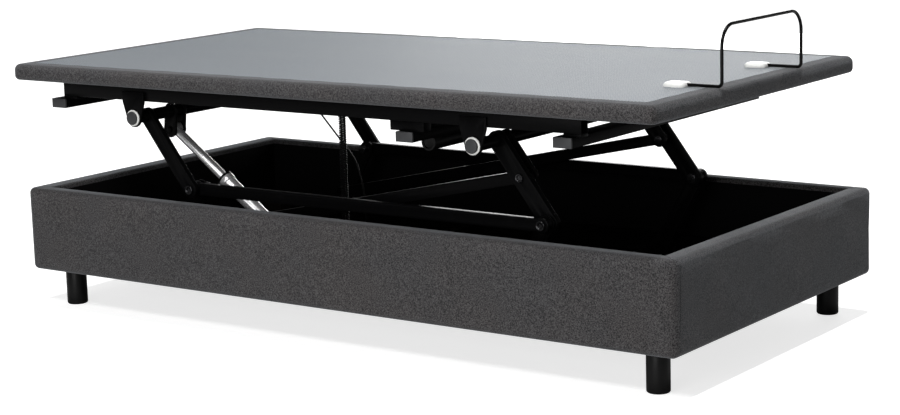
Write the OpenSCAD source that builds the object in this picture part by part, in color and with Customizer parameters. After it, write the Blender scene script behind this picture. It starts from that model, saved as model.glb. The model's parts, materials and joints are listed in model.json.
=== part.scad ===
// Adjustable bed base: an upholstered box on legs, a double parallelogram lift
// inside it, and a four-section lying surface on top, shown fully raised.
// Head at -X, foot at +X. The origin is on the floor, midway along the whole length.

/* [Bed] */
// Length of the upholstered box
bed_len = 2000; // [1980:10:2040]
// Width of the box and of the lying surface
bed_w = 1000; // [990:5:1020]
// Height of the legs
leg_h = 100; // [80:5:140]
// Height of the upholstered panels
panel_h = 225; // [200:5:230]
// Thickness of the long side panels
side_t = 38; // [30:1:38]
// Thickness of the end panels
end_t = 47; // [36:1:47]
// How far the lying surface stands past the head end of the box
head_overhang = 26; // [10:1:40]
// How far the lying surface stays short of the foot end of the box
foot_setback = 50; // [40:1:60]

/* [Lift linkage] */
// Height of the lower pivots
base_pivot_z = 140; // [135:1:145]
// Rise of a lower arm between its two pivots, fully raised
lower_rise = 202; // [198:1:204]
// Run of a lower arm between its two pivots, fully raised
lower_run = 112; // [108:1:116]
// Rise of an upper arm between its two pivots, fully raised
upper_rise = 188; // [186:1:190]
// Run of an upper arm between its two pivots, fully raised
upper_run = 145; // [142:1:148]
// Width of an arm
arm_w = 40; // [30:1:42]
// Place of the lower foot torsion tube, from the middle of the box
foot_pivot_x = 466; // [462:1:470]
// Place of the lower head torsion tube, from the middle of the box
head_pivot_x = -622; // [-626:1:-618]
// Radius of the pivot bolts
bolt_r = 8; // [6:0.5:9]
// Radial running clearance of pins and shafts
run_gap = 0.05; // [0.02:0.01:0.1]

/* [Lying surface] */
// Top of the upper frame rails
rail_top = 618; // [612:1:620]
// Height of the upper frame rails
rail_h = 43; // [40:1:44]
// Thickness of the boards
board_t = 19.5; // [16:0.5:20]
// Thickness of the pads
pad_t = 22; // [18:1:26]
// Back hinge, from the middle of the box
back_hinge_x = -240; // [-250:1:-230]
// Thigh hinge, from the middle of the box
thigh_hinge_x = 60; // [50:1:70]
// Knee hinge, from the middle of the box
knee_hinge_x = 380; // [370:1:390]

/* [Mattress retainer] */
// Height of the bar above the pads
bar_rise = 149; // [120:1:170]
// Distance between the two uprights
bar_w = 400; // [360:5:460]
// Radius of the rod
rod_r = 4; // [3:0.5:5]

/* [Hidden] */
$fn = 64;

// Everything along X is measured from the middle of the box and then moved by this
box_cx = (head_overhang) / 2;
function bx(x) = box_cx + x;

half_w = bed_w / 2;
half_len = bed_len / 2;
inner_x = half_len - end_t;
inner_y = half_w - side_t;

// Pivots of the lift, as [x, z]
foot_base_p = [foot_pivot_x, base_pivot_z];
head_base_p = [head_pivot_x, base_pivot_z];
foot_mid_p = foot_base_p + [lower_run, lower_rise];
head_mid_p = head_base_p + [lower_run, lower_rise];
foot_top_p = foot_mid_p + [-upper_run, upper_rise];
head_top_p = head_mid_p + [-upper_run, upper_rise];

// How far along its arm each end of a sync link is pinned
sync_top_reach = 108;
sync_low_reach = 83;
upper_dir = [upper_run, -upper_rise] / norm([upper_run, upper_rise]);
lower_dir = [lower_run, lower_rise] / norm([lower_run, lower_rise]);
sync_top_p = foot_top_p + sync_top_reach * upper_dir;
sync_low_p = head_base_p + sync_low_reach * lower_dir;

// Layers of the linkage, from the inside out, as ranges of |y|
sync_ear_y = [302, 310];
link_y = [313, 331];
foot_arm_y = [334, 352];
lower_arm_y = [354, 362];
mid_rail_y = [364, 384];
head_arm_y = [386, 402];
base_rail_y = [405, 435];
upper_rail_y = [410, 440];
bracket_y = [440.2, 446];
flange_y = [446.2, 450];
cap_y = [450.5, 456];

tube_r = 16;
base_bush_r = 20;
leg_r = 28;
leg_x = 918;
leg_y = 433;
block_size = [110, 110, 50];

// Lift actuator, from its anchor to the lever pin
lift_y = -285;
anchor_p = [-195, 145];
lever_p = [-660, 480];
lift_vec = lever_p - anchor_p;
lift_len = norm(lift_vec);
lift_up = atan2(lift_vec[1], -lift_vec[0]);

// Lying surface, as heights
rail_bottom = rail_top - rail_h;
board_z = rail_top + 0.5;
board_top = board_z + board_t;
leaf_t = 2;
pad_z = board_top + leaf_t;
pad_top = pad_z + pad_t;
top_hinge_z = pad_z;
knee_hinge_z = board_z - leaf_t;
head_end_x = -half_len - head_overhang;
foot_end_x = half_len - foot_setback;
hinge_gap = 6;
pad_gap = 16;
hinge_ys = [-350, 0, 350];
knuckle_r = 4.5;
hinge_pin_r = 2.5;

// Section actuators, from rear pivot to horn pin
back_act_y = -110;
back_rear_p = [170, 545];
back_pin_p = [-260, 545];
thigh_act_y = 110;
thigh_rear_p = [-480, 553];
thigh_pin_p = [80, 540];

// Cross tubes of the upper frame, as [x, z of the bottom], with the height of the inner ones
outer_tubes = [[-921, 543], [239, 527], [686, 543]];
inner_tubes = [[-520, 582, 30], [-10, 592, 20]];
rail_x = [-915, 728];
cross_w = 50;
cross_h = 25;

// Leads
supply_top = 165;
curly_r = 5.5;
curly_xs = [-321, -303];
curly_y = 0;
lead_r = 2.3;
lead_pts = [[-520, 55, 580.2], [-508, 55, 567], [-486, 55, 546], [-460, 55, 520], [-432, 55, 491],
    [-405, 55, 463], [-380, 55, 437], [-357, 55, 414], [-334, 55, 391], [-315, 55, 368],
    [-302, 55, 340], [-294, 55, 310], [-288, 55, 280], [-285, 55, 250], [-284, 55, 220],
    [-284, 55, 190], [-284, 55, 165]];

bar_x = 957;
bar_clip_x = 840;
bar_corner_r = 52;
bar_foot_r = 10;
clip_size = [60, 45, 11];

// ---- helpers ----

// A box from its ranges along x, y and z; x is from the middle of the box
module block(x, y, z)
    translate([bx(x[0]), y[0], z[0]]) cube([x[1] - x[0], y[1] - y[0], z[1] - z[0]]);

module both_sides() {
    children();
    mirror([0, 1, 0]) children();
}

// Extrudes a profile drawn in x and z over a range of y
module across(y) translate([box_cx, y[1], 0]) rotate([90, 0, 0]) linear_extrude(y[1] - y[0]) children();

// A round bar along y through p = [x, z]
module rod_y(p, y, r) across(y) translate(p) circle(r);

module ring_y(p, y, r_out, r_in)
    across(y) translate(p) difference() {
        circle(r_out);
        circle(r_in);
    }

// Flat link between two points with round ends a little wider than it, one hole at each
end_swell = 1;
module link_profile(p, q, w, hole_p, hole_q) {
    d = q - p;
    difference() {
        union() {
            translate(p) rotate(atan2(d[1], d[0])) translate([0, -w / 2]) square([norm(d), w]);
            translate(p) circle(w / 2 + end_swell);
            translate(q) circle(w / 2 + end_swell);
        }
        translate(p) circle(hole_p);
        translate(q) circle(hole_q);
    }
}

// Steel tube of square section along y, open inside
module square_tube_y(x_mid, z, w, h, y_end, wall = 2)
    difference() {
        block([x_mid - w / 2, x_mid + w / 2], [-y_end, y_end], [z, z + h]);
        block([x_mid - w / 2 + wall, x_mid + w / 2 - wall], [-y_end - 1, y_end + 1],
            [z + wall, z + h - wall]);
    }

// Steel tube of square section along x, open inside
module square_tube_x(x, y, z, wall = 2)
    difference() {
        block(x, y, z);
        block([x[0] - 1, x[1] + 1], [y[0] + wall, y[1] - wall], [z[0] + wall, z[1] - wall]);
    }

// Puts things drawn along -x onto the line of the lift actuator
module on_lift_line()
    translate([bx(anchor_p[0]), lift_y, anchor_p[1]]) rotate([0, lift_up, 0]) children();

module along_x(x0, x1, r) translate([x0, 0, 0]) rotate([0, 90, 0]) cylinder(h = x1 - x0, r = r);
module across_y(y0, y1, r) translate([0, y1, 0]) rotate([90, 0, 0]) cylinder(h = y1 - y0, r = r);

// ---- upholstered box ----

module side_panel()
    color("#2c2f33") translate([box_cx, 0, leg_h]) linear_extrude(panel_h)
        polygon([[-half_len, -half_w], [half_len, -half_w],
            [inner_x, -inner_y], [-inner_x, -inner_y]]);
module side_panel_near() side_panel();
module side_panel_far() mirror([0, 1, 0]) side_panel();

module end_panel(side)
    color("#2c2f33") translate([box_cx, 0, leg_h]) linear_extrude(panel_h)
        polygon([[side * half_len, -half_w], [side * half_len, half_w],
            [side * inner_x, inner_y], [side * inner_x, -inner_y]]);
module end_panel_head() end_panel(-1);
module end_panel_foot() end_panel(1);

module corner_blocks()
    color("#3a3128") for (sx = [-1, 1], sy = [-1, 1])
        translate([box_cx + sx * (inner_x - block_size[0] / 2), sy * (inner_y - block_size[1] / 2), leg_h])
            difference() {
                translate([-block_size[0] / 2, -block_size[1] / 2, 0]) cube(block_size);
                translate([sx * (leg_x - inner_x + block_size[0] / 2),
                    sy * (leg_y - inner_y + block_size[1] / 2), -1]) cylinder(h = 42, r = 5);
            }

module at_legs() for (sx = [-1, 1], sy = [-1, 1]) translate([box_cx + sx * leg_x, sy * leg_y, 0]) children();

module legs()
    color("#151515") at_legs() difference() {
        rotate_extrude() polygon([[0, 0], [leg_r - 3, 0], [leg_r, 3], [leg_r, leg_h], [0, leg_h]]);
        translate([0, 0, leg_h - 30]) cylinder(h = 31, r = 5);
    }

// ---- base frame ----

module base_rails()
    color("#101112") both_sides() difference() {
        block([block_size[0] - inner_x, inner_x - block_size[0]], base_rail_y, [115, 168]);
        for (p = [foot_base_p, head_base_p]) rod_y(p, [400, 440], base_bush_r);
        rod_y([735, 140], [404, 436], 5);
    }

module base_cross_tubes() {
    color("#101112") for (x = [-705, -150, 735]) square_tube_y(x, 120, 30, 30, base_rail_y[0]);
    color("#101112") block([-689.8, -165.2], [-75, 80], [120, 123]);
    color("#101112") for (side = [-1, 1]) anchor_ear(lift_y + side * 21);
}

// One of the two welded ears that hold the lower pin of the lift actuator
module anchor_ear(y)
    difference() {
        union() {
            block([anchor_p[0], -164], [y - 3, y + 3], [anchor_p[1] - 22, anchor_p[1] + 20]);
            rod_y(anchor_p, [y - 3, y + 3], 21);
        }
        rod_y(anchor_p, [y - 4, y + 4], bolt_r + 0.1);
    }

module base_bushings()
    color("#e8e6df") both_sides() for (p = [foot_base_p, head_base_p]) {
        ring_y(p, base_rail_y, base_bush_r, tube_r + run_gap);
        ring_y(p, [402, 405], base_bush_r + 3, tube_r + run_gap);
    }

module base_fasteners() {
    color("#8a8c8e") at_legs() translate([0, 0, leg_h - 28]) cylinder(h = 66, r = 4.8);
    color("#8a8c8e") rod_y(anchor_p, [lift_y - 29, lift_y + 29], bolt_r);
    color("#8a8c8e") both_sides() {
        rod_y([735, 140], [405.5, 436], 4.8);
        rod_y([735, 140], [435.2, 440], 9);
    }
}

// Thin cloth across the open bottom, cut out round the corner blocks
module dust_cover()
    color("#0b0b0b") difference() {
        block([-inner_x + 0.5, inner_x - 0.5], [-inner_y + 0.5, inner_y - 0.5], [leg_h + 0.4, leg_h + 1.6]);
        for (sx = [-1, 1], sy = [-1, 1])
            translate([box_cx + sx * (inner_x - block_size[0] / 2), sy * (inner_y - block_size[1] / 2), leg_h])
                cube([block_size[0] + 1, block_size[1] + 1, 10], center = true);
    }

module power_supply()
    color("#191a1c") difference() {
        union() {
            block([-440, -180], [-65, 75], [123, supply_top - 6]);
            block([-432, -188], [-58, 68], [supply_top - 6, supply_top]);
        }
        block([-441, -428], [-20, 20], [130, 154]);
    }

module power_inlet()
    color("#0c0c0c") difference() {
        block([-442, -428.1], [-19.8, 19.8], [130.2, 153.8]);
        block([-443, -432], [-12, 12], [134, 150]);
    }

// ---- leads ----

function unit(v) = v / norm(v);
function lead_dir(i) = unit(lead_pts[min(i + 1, len(lead_pts) - 1)] - lead_pts[max(i - 1, 0)]);
function lead_ring(i, n) = let (t = lead_dir(i), s = [0, 1, 0], u = cross(s, t))
    [for (k = [0:n - 1]) lead_pts[i] + [box_cx, 0, 0]
        + lead_r * (cos(360 * k / n) * u + sin(360 * k / n) * s)];

module curly_leads()
    color("#0f0f10") for (x = curly_xs)
        translate([bx(x), curly_y, supply_top]) cylinder(h = control_z - supply_top, r = curly_r);

module lift_lead() {
    n = 8;
    m = len(lead_pts);
    color("#0f0f10") polyhedron(
        points = [for (i = [0:m - 1]) each lead_ring(i, n)],
        faces = concat([[for (k = [0:n - 1]) k]],
            [for (i = [0:m - 2], k = [0:n - 1]) let (k2 = (k + 1) % n)
                [i * n + k, (i + 1) * n + k, (i + 1) * n + k2, i * n + k2]],
            [[for (k = [n - 1:-1:0]) (m - 1) * n + k]]));
}

// ---- linkage ----

module lower_arms(p, q)
    color("#141517") both_sides() across(lower_arm_y)
        link_profile(p, q, arm_w, tube_r + 0.2, bolt_r + run_gap);

module lower_foot_arms() lower_arms(foot_base_p, foot_mid_p);

// The lower ends of the sync links meet these arms at a stub
module lower_head_arms() {
    lower_arms(head_base_p, head_mid_p);
    color("#141517") both_sides() rod_y(sync_low_p, [link_y[1] + 4, lower_arm_y[0]], 7);
}

module lower_tube(p) color("#141517") ring_y(p, [-base_rail_y[1], base_rail_y[1]], tube_r, tube_r - 3);
module lower_foot_torsion_tube() lower_tube(foot_base_p);
module lower_head_torsion_tube() lower_tube(head_base_p);

rail_end_r = 20;
module mid_rails()
    color("#141517") both_sides() difference() {
        union() {
            block([head_mid_p[0], foot_mid_p[0]], mid_rail_y,
                [foot_mid_p[1] - 15.5, foot_mid_p[1] + 15.5]);
            for (p = [head_mid_p, foot_mid_p]) rod_y(p, mid_rail_y, rail_end_r);
        }
        for (p = [head_mid_p, foot_mid_p]) rod_y(p, [355, 390], bolt_r + 0.1);
    }

// Each bolt has a head outside the outermost bar and a thin nut inside the innermost
module mid_pivot_bolts()
    color("#1b1c1e") both_sides() {
        for (p = [head_mid_p, foot_mid_p]) rod_y(p, [foot_arm_y[0] - 2.6, foot_arm_y[0] - 0.4], 12);
        rod_y(foot_mid_p, [foot_arm_y[0] - 2, mid_rail_y[1] + 1], bolt_r);
        rod_y(foot_mid_p, [mid_rail_y[1] + 0.5, mid_rail_y[1] + 6], 12);
        rod_y(head_mid_p, [foot_arm_y[0] - 2, head_arm_y[1] + 1], bolt_r);
        rod_y(head_mid_p, [foot_arm_y[0] - 1, lower_arm_y[0] - 0.4], 12);
        rod_y(head_mid_p, [head_arm_y[1] + 0.5, head_arm_y[1] + 6], 12);
    }

// Each foot arm has a short inner plate, so the sync link is held on both sides
module upper_foot_arms()
    color("#141517") both_sides() {
        across(foot_arm_y) difference() {
            link_profile(foot_top_p, foot_mid_p, arm_w + 4, tube_r + 0.2, bolt_r + run_gap);
            translate(sync_top_p) circle(6.1);
        }
        across(sync_ear_y) link_profile(foot_top_p, sync_top_p, arm_w, tube_r + 0.2, 6.1);
    }

module upper_head_arms()
    color("#141517") both_sides() across(head_arm_y)
        link_profile(head_top_p, head_mid_p, arm_w, tube_r + 0.2, bolt_r + run_gap);

module upper_tube(p) color("#141517") ring_y(p, [-flange_y[1], flange_y[1]], tube_r, tube_r - 3);
module upper_foot_torsion_tube() upper_tube(foot_top_p);
module upper_head_torsion_tube() upper_tube(head_top_p);

module tube_caps(p)
    color("#74777b") both_sides() {
        rod_y(p, cap_y, 17.5);
        rod_y(p, [flange_y[0] - 6, cap_y[0]], tube_r - 3.1);
    }
module foot_tube_caps() tube_caps(foot_top_p);
module head_tube_caps() tube_caps(head_top_p);

lever_w = 42;
// Two plates hanging from the head torsion tube, which the lift actuator pushes
module lift_levers()
    color("#141517") for (side = [-1, 1]) {
        y = lift_y + side * 18;
        across([y - 3, y + 3]) link_profile(head_top_p, lever_p, lever_w, tube_r + 0.2, bolt_r + 0.1);
        rod_y(lever_p, side < 0 ? [y - 6, y + 2.8] : [y - 2.8, y + 6], bolt_r);
    }

module sync_links()
    color("#141517") both_sides() across(link_y)
        link_profile(sync_low_p, sync_top_p, 30, 9, 6 + run_gap);

module sync_link_bolts()
    color("#1b1c1e") both_sides() {
        rod_y(sync_top_p, [sync_ear_y[0] - 1, foot_arm_y[1] + 1], 6);
        rod_y(sync_top_p, [foot_arm_y[1] + 0.4, foot_arm_y[1] + 5], 10);
        rod_y(sync_top_p, [sync_ear_y[0] - 5, sync_ear_y[0] - 0.4], 10);
    }

// ---- lift actuator ----

lift_tube_len = 352;
lift_tube_r = 19;
lift_rod_r = 12.5;
module lift_actuator_tube()
    color("#c9cbcd") on_lift_line() difference() {
        union() {
            along_x(-lift_tube_len, -50, lift_tube_r);
            along_x(-lift_tube_len - 8, 8 - lift_tube_len, 22);
        }
        along_x(-lift_tube_len - 9, -90, lift_rod_r + run_gap);
    }

module lift_actuator_motor()
    color("#17181a") {
        on_lift_line() difference() {
            union() {
                translate([-50, -15, -24]) cube([50, 30, 44]);
                across_y(-15, 15, 20);
                translate([-80, 14, -22]) cube([55, 27, 40]);
            }
            across_y(-16, 16, bolt_r + run_gap);
            along_x(-81, -49.9, lift_tube_r);
        }
        on_lift_line() translate([-52, 0, -2]) across_y(41, 175, 20);
    }

module lift_actuator_rod()
    color("#c9cbcd") on_lift_line() difference() {
        union() {
            along_x(12 - lift_len, -250, lift_rod_r);
            translate([-lift_len, 0, 0]) across_y(-13, 13, 17);
        }
        translate([-lift_len, 0, 0]) across_y(-14, 14, bolt_r + 1);
    }

// ---- upper frame ----

module upper_rails() color("#101112") both_sides() square_tube_x(rail_x, upper_rail_y, [rail_bottom, rail_top]);

control_z = 575;
control_x = [-400, -250];
strap_z = 612;
module upper_cross_tubes()
    color("#101112") {
        for (t = outer_tubes) square_tube_y(t[0], t[1], cross_w, cross_h, cap_y[0]);
        for (t = inner_tubes) square_tube_y(t[0], t[1], 30, t[2], upper_rail_y[0]);
        block([inner_tubes[0][0] - 15, inner_tubes[1][0] + 15], [-50, 50], [strap_z + 0.2, strap_z + 3]);
    }

module cross_tube_caps()
    color("#74777b") both_sides() for (t = outer_tubes) {
        block([t[0] - cross_w / 2, t[0] + cross_w / 2], cap_y, [t[1], t[1] + cross_h]);
        block([t[0] - cross_w / 2 + 2.2, t[0] + cross_w / 2 - 2.2], [cap_y[0] - 12, cap_y[0]],
            [t[1] + 2.2, t[1] + cross_h - 2.2]);
    }

spacer_runs = [[-915, -867], [187, 287], [680, 728]];
module spacer_blocks()
    color("#101112") both_sides() for (i = [0:2])
        block(spacer_runs[i], upper_rail_y, [outer_tubes[i][1] + cross_h, rail_bottom]);

// Plates on the outer faces of the rails that carry the torsion tubes
module torsion_brackets()
    color("#0e0f10") both_sides() for (p = [foot_top_p, head_top_p])
        across(bracket_y) difference() {
            union() {
                translate(p) circle(25);
                translate(p) polygon([[-25, 0], [-38, 42], [-38, 70], [38, 70], [38, 42], [25, 0]]);
            }
            translate(p) circle(tube_r + 4);
        }

module torsion_flanges()
    color("#f0efe9") both_sides() for (p = [foot_top_p, head_top_p]) {
        ring_y(p, bracket_y, tube_r + 4, tube_r + run_gap);
        ring_y(p, flange_y, 21.5, tube_r + run_gap);
    }

// Rear clevises of the two section actuators, each with its pin
module rear_clevis(p, y_mid, plate_x, plate_z)
    for (side = [-1, 1]) {
        y = y_mid + side * 19;
        difference() {
            union() {
                block(plate_x, [y - 3, y + 3], plate_z);
                rod_y(p, [y - 3, y + 3], 15);
            }
            rod_y(p, [y - 4, y + 4], 6.1);
        }
    }

module actuator_brackets()
    color("#141517") {
        rear_clevis(back_rear_p, back_act_y, [170, 214], [530, 560]);
        rod_y(back_rear_p, [back_act_y - 24, back_act_y + 24], 6);
        rear_clevis(thigh_rear_p, thigh_act_y, [-505, -480], [553, 600]);
        rod_y(thigh_rear_p, [thigh_act_y - 24, thigh_act_y + 24], 6);
    }

module control_box()
    color("#191a1c") difference() {
        block(control_x, [-60, 60], [control_z, strap_z]);
        for (x = curly_xs) translate([bx(x), curly_y, control_z - 1]) cylinder(h = 0.9, r = curly_r + 2);
    }

// ---- lying surface ----

module board(x) color("#6b5a45") block(x, [-half_w + 3, half_w - 3], [board_z, board_top]);
module pad(x) color("#5d6a76") block(x, [-half_w, half_w], [pad_z, pad_top]);

module seat_board() board([back_hinge_x + hinge_gap, thigh_hinge_x - hinge_gap]);
module seat_pad() pad([back_hinge_x + pad_gap, thigh_hinge_x - pad_gap]);
module back_board() board([head_end_x + 2, back_hinge_x - hinge_gap]);
module back_pad() pad([head_end_x, back_hinge_x - pad_gap]);
module thigh_board() board([thigh_hinge_x + hinge_gap, knee_hinge_x - hinge_gap]);
module thigh_pad() pad([thigh_hinge_x + pad_gap, knee_hinge_x - 8]);
module calf_board() board([knee_hinge_x + hinge_gap, foot_end_x - 2]);
module calf_pad() pad([knee_hinge_x + 8, foot_end_x]);

// One leaf with its knuckles. side is -1 when the leaf lies towards the head.
// leaf_z is the bottom of the leaf; middle is true for the leaf with the middle knuckle.
leaf_w = 50;
module leaf(x, z, leaf_z, side, middle)
    for (y = hinge_ys) {
        runs = middle ? [[-15.5, 15.5]] : [[-45, -16], [16, 45]];
        block(side < 0 ? [x - leaf_w, x - hinge_gap] : [x + hinge_gap, x + leaf_w],
            [y - 45, y + 45], [leaf_z, leaf_z + leaf_t]);
        for (run = runs) difference() {
            union() {
                rod_y([x, z], [y + run[0], y + run[1]], knuckle_r);
                block(side < 0 ? [x - hinge_gap, x] : [x, x + hinge_gap],
                    [y + run[0], y + run[1]], [leaf_z, leaf_z + leaf_t]);
            }
            rod_y([x, z], [y + run[0] - 1, y + run[1] + 1], hinge_pin_r + run_gap);
        }
    }

module hinge_pins(x, z) for (y = hinge_ys) rod_y([x, z], [y - 46, y + 46], hinge_pin_r);

// The seat section carries the pins of both of its hinges
module seat_hinge_leaves()
    color("#8a8c8e") {
        leaf(back_hinge_x, top_hinge_z, board_top, 1, true);
        leaf(thigh_hinge_x, top_hinge_z, board_top, -1, true);
        hinge_pins(back_hinge_x, top_hinge_z);
        hinge_pins(thigh_hinge_x, top_hinge_z);
    }
module back_hinge_leaves() color("#8a8c8e") leaf(back_hinge_x, top_hinge_z, board_top, -1, false);

// The thigh section carries leaves for both of its hinges and the knee pins
module thigh_hinge_leaves()
    color("#8a8c8e") {
        leaf(thigh_hinge_x, top_hinge_z, board_top, 1, false);
        leaf(knee_hinge_x, knee_hinge_z, knee_hinge_z, -1, true);
        hinge_pins(knee_hinge_x, knee_hinge_z);
    }

// Two plates below a board that the end of an actuator rod pushes on
module horn(p, y_mid, top_x)
    color("#141517") for (side = [-1, 1]) {
        y = y_mid + side * 15;
        across([y - 2.5, y + 2.5]) difference() {
            union() {
                translate(p) circle(14);
                polygon([p + [-14, 0], [top_x[0], board_z], [top_x[1], board_z], p + [14, 0]]);
            }
            translate(p) circle(6.1);
        }
        rod_y(p, side < 0 ? [y - 5, y + 2.3] : [y - 2.3, y + 5], 6);
    }

module back_horn() horn(back_pin_p, back_act_y, [-310, -250]);
module thigh_horn() horn(thigh_pin_p, thigh_act_y, [68, 135]);

// ---- section actuators ----

// Housing with its cross-wise motor, lying along -x from its rear pivot
act_tube_r = 17;
act_rod_r = 10;
module act_housing(tube_end, motor_dir) {
    difference() {
        union() {
            across_y(-14, 14, 14);
            translate([-40, -14, -17]) cube([40, 28, 34]);
            along_x(tube_end, -40, act_tube_r);
            translate([8, motor_dir > 0 ? 14.5 : -30.5, -58]) cube([46, 16, 34]);
            translate([8, motor_dir > 0 ? 14.5 : -30.5, -58]) cube([32, 16, 60]);
            translate([-30, motor_dir > 0 ? 13 : -30.5, -16]) cube([52, 17.5, 22]);
        }
        across_y(-35, 35, 6 + run_gap);
        along_x(tube_end - 1, -60, act_rod_r + run_gap);
        for (s = [-1, 1]) translate([-18, s * 19 - 3.4, -20]) cube([82, 6.8, 40]);
    }
    translate([30, 0, -42]) mirror([0, (1 - motor_dir) / 2, 0]) difference() {
        across_y(30.5, 195, 21);
        across_y(190, 196, 16);
    }
}

module act_rod(len, inner_end)
    difference() {
        union() {
            along_x(10 - len, inner_end, act_rod_r);
            translate([-len, 0, 0]) across_y(-11, 11, 13);
        }
        translate([-len, 0, 0]) across_y(-12, 12, 7);
    }

module on_back_line()
    translate([bx(back_rear_p[0]), back_act_y, back_rear_p[1]]) children();
module on_thigh_line()
    translate([bx(thigh_rear_p[0]), thigh_act_y, thigh_rear_p[1]])
        rotate([0, atan2(thigh_rear_p[1] - thigh_pin_p[1], thigh_pin_p[0] - thigh_rear_p[0]), 0])
            mirror([1, 0, 0]) children();

back_act_len = norm(back_pin_p - back_rear_p);
thigh_act_len = norm(thigh_pin_p - thigh_rear_p);
module back_actuator_tube() color("#1d1e20") on_back_line() act_housing(-250, -1);
module back_actuator_rod() color("#b9bbbe") on_back_line() act_rod(back_act_len, -160);
module thigh_actuator_tube() color("#1d1e20") on_thigh_line() act_housing(-330, 1);
module thigh_actuator_rod() color("#b9bbbe") on_thigh_line() act_rod(thigh_act_len, -200);

// ---- mattress retainer ----

module retainer_bar() {
    z0 = pad_top + rod_r + 1;
    z1 = pad_top + bar_rise - rod_r;
    x_in = bar_clip_x - clip_size[0] / 2 + 6;
    color("#0c0c0d") both_sides() translate([box_cx, bar_w / 2, 0]) {
        translate([x_in, 0, z0]) along_x(0, bar_x - bar_foot_r - x_in, rod_r);
        translate([bar_x - bar_foot_r, 0, z0 + bar_foot_r]) rotate([90, 0, 0])
            rotate([0, 0, -90]) rotate_extrude(angle = 90) translate([bar_foot_r, 0]) circle(rod_r);
        translate([bar_x, 0, z0 + bar_foot_r]) cylinder(h = z1 - z0 - bar_foot_r - bar_corner_r, r = rod_r);
        translate([bar_x, -bar_corner_r, z1 - bar_corner_r]) rotate([90, 0, 90])
            rotate_extrude(angle = 90) translate([bar_corner_r, 0]) circle(rod_r);
    }
    color("#0c0c0d") translate([box_cx + bar_x, 0, z1])
        across_y(bar_corner_r - bar_w / 2, bar_w / 2 - bar_corner_r, rod_r);
}

module bar_clips()
    color("#efeeea") both_sides() translate([bx(bar_clip_x), bar_w / 2, pad_top]) difference() {
        translate([-clip_size[0] / 2, -clip_size[1] / 2, 0]) cube(clip_size);
        translate([4 - clip_size[0] / 2, 0, rod_r + 1]) along_x(0, clip_size[0], rod_r + 0.1);
    }

side_panel_near();
side_panel_far();
end_panel_head();
end_panel_foot();
corner_blocks();
legs();
base_fasteners();
base_rails();
base_cross_tubes();
base_bushings();
dust_cover();
power_supply();
power_inlet();
curly_leads();
lift_lead();
lower_foot_arms();
lower_foot_torsion_tube();
lower_head_arms();
lower_head_torsion_tube();
mid_rails();
mid_pivot_bolts();
upper_foot_arms();
upper_foot_torsion_tube();
foot_tube_caps();
upper_head_arms();
upper_head_torsion_tube();
head_tube_caps();
lift_levers();
sync_links();
sync_link_bolts();
lift_actuator_tube();
lift_actuator_motor();
lift_actuator_rod();
upper_rails();
upper_cross_tubes();
cross_tube_caps();
spacer_blocks();
torsion_brackets();
torsion_flanges();
actuator_brackets();
control_box();
seat_board();
seat_pad();
seat_hinge_leaves();
back_board();
back_pad();
back_hinge_leaves();
back_horn();
back_actuator_tube();
back_actuator_rod();
thigh_board();
thigh_pad();
thigh_hinge_leaves();
thigh_horn();
thigh_actuator_tube();
thigh_actuator_rod();
calf_board();
calf_pad();
retainer_bar();
bar_clips();
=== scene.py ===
"""Adjustable bed base: upholstery, steelwork, leads and finishes round its steel frame."""
import json
import math
import random

import bpy
from bpy.props import FloatProperty, FloatVectorProperty, IntProperty, PointerProperty
from mathutils import Matrix, Vector


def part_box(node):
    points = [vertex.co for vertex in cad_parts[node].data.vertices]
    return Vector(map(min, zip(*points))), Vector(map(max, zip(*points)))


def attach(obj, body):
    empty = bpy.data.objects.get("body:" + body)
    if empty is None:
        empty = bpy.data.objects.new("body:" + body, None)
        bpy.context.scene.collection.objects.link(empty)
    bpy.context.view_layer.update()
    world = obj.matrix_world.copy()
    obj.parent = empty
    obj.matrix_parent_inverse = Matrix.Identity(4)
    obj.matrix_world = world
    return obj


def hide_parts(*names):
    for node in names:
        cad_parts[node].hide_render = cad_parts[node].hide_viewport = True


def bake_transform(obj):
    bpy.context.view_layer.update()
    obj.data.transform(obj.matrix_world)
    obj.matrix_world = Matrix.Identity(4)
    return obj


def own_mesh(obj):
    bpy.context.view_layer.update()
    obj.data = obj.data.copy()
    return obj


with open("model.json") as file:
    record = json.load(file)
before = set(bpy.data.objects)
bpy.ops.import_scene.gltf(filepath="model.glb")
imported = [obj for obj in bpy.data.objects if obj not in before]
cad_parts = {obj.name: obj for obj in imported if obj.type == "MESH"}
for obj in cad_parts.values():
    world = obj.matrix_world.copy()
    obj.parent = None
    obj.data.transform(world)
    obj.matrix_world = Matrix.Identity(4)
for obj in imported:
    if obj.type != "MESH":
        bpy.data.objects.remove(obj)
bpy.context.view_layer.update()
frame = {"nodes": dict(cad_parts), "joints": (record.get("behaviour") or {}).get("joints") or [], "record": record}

bl_info = {
    "name": "Adjustable Bed Base",
    "version": (1, 0, 0),
    "blender": (4, 5, 0),
    "location": "View3D > Sidebar > Bed",
    "description": "Builds an upholstered hi-low bed base round its steel frame",
    "category": "Object",
}

MM = 0.001
BODY_OF = {
    node: body for body, nodes in frame["record"]["behaviour"]["bodies"].items() for node in nodes
}


# ---------------------------------------------------------------- sizes and colours

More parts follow.
